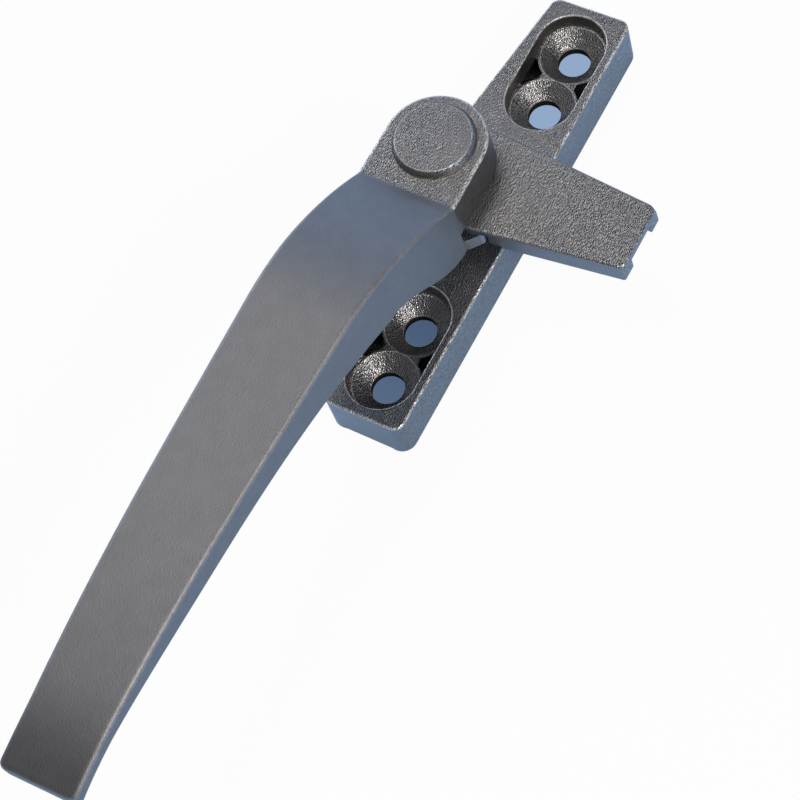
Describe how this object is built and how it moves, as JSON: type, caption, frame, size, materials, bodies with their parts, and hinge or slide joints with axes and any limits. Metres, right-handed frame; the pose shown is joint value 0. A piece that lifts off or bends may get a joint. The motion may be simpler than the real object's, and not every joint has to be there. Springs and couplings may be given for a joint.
{
  "type": "casement window handle",
  "caption": "Cranked lever handle on a long screw plate, with a flat locking tongue and a round cap over the pivot, for a casement window.",
  "frame": {"origin": "centre of the four screw holes, on the mounting plane", "axes": "+Z out of the window sash towards the user, +Y along the screw plate away from the grip, +X the way the tongue points when latched"},
  "size_m": [0.0429, 0.1548, 0.037],
  "materials": {
    "textured_coat": "fine textured powder coat, dark bronze",
    "grip_coat": "satin powder coat, dark bronze",
    "plated_steel": "zinc plated",
    "spring_steel": "plain spring steel",
    "acetal": "natural acetal"
  },
  "bodies": {
    "base": {"base_plate": "textured_coat", "base_bush": "acetal", "thrust_washer": "acetal"},
    "turning": {"lever": "grip_coat", "tongue": "textured_coat", "pivot_spindle": "plated_steel", "disc_spring": "spring_steel", "back_washer": "plated_steel", "lock_washer": "spring_steel", "fixing_screw": "plated_steel", "pivot_cap": "textured_coat"}
  },
  "joints": [
    {"name": "lever_turn", "type": "hinge", "parent": "base", "child": "turning", "pos_m": [-0.00465, 0, 0.012], "axis": [0, 0, 1], "range_deg": [-90, 0]}
  ]
}
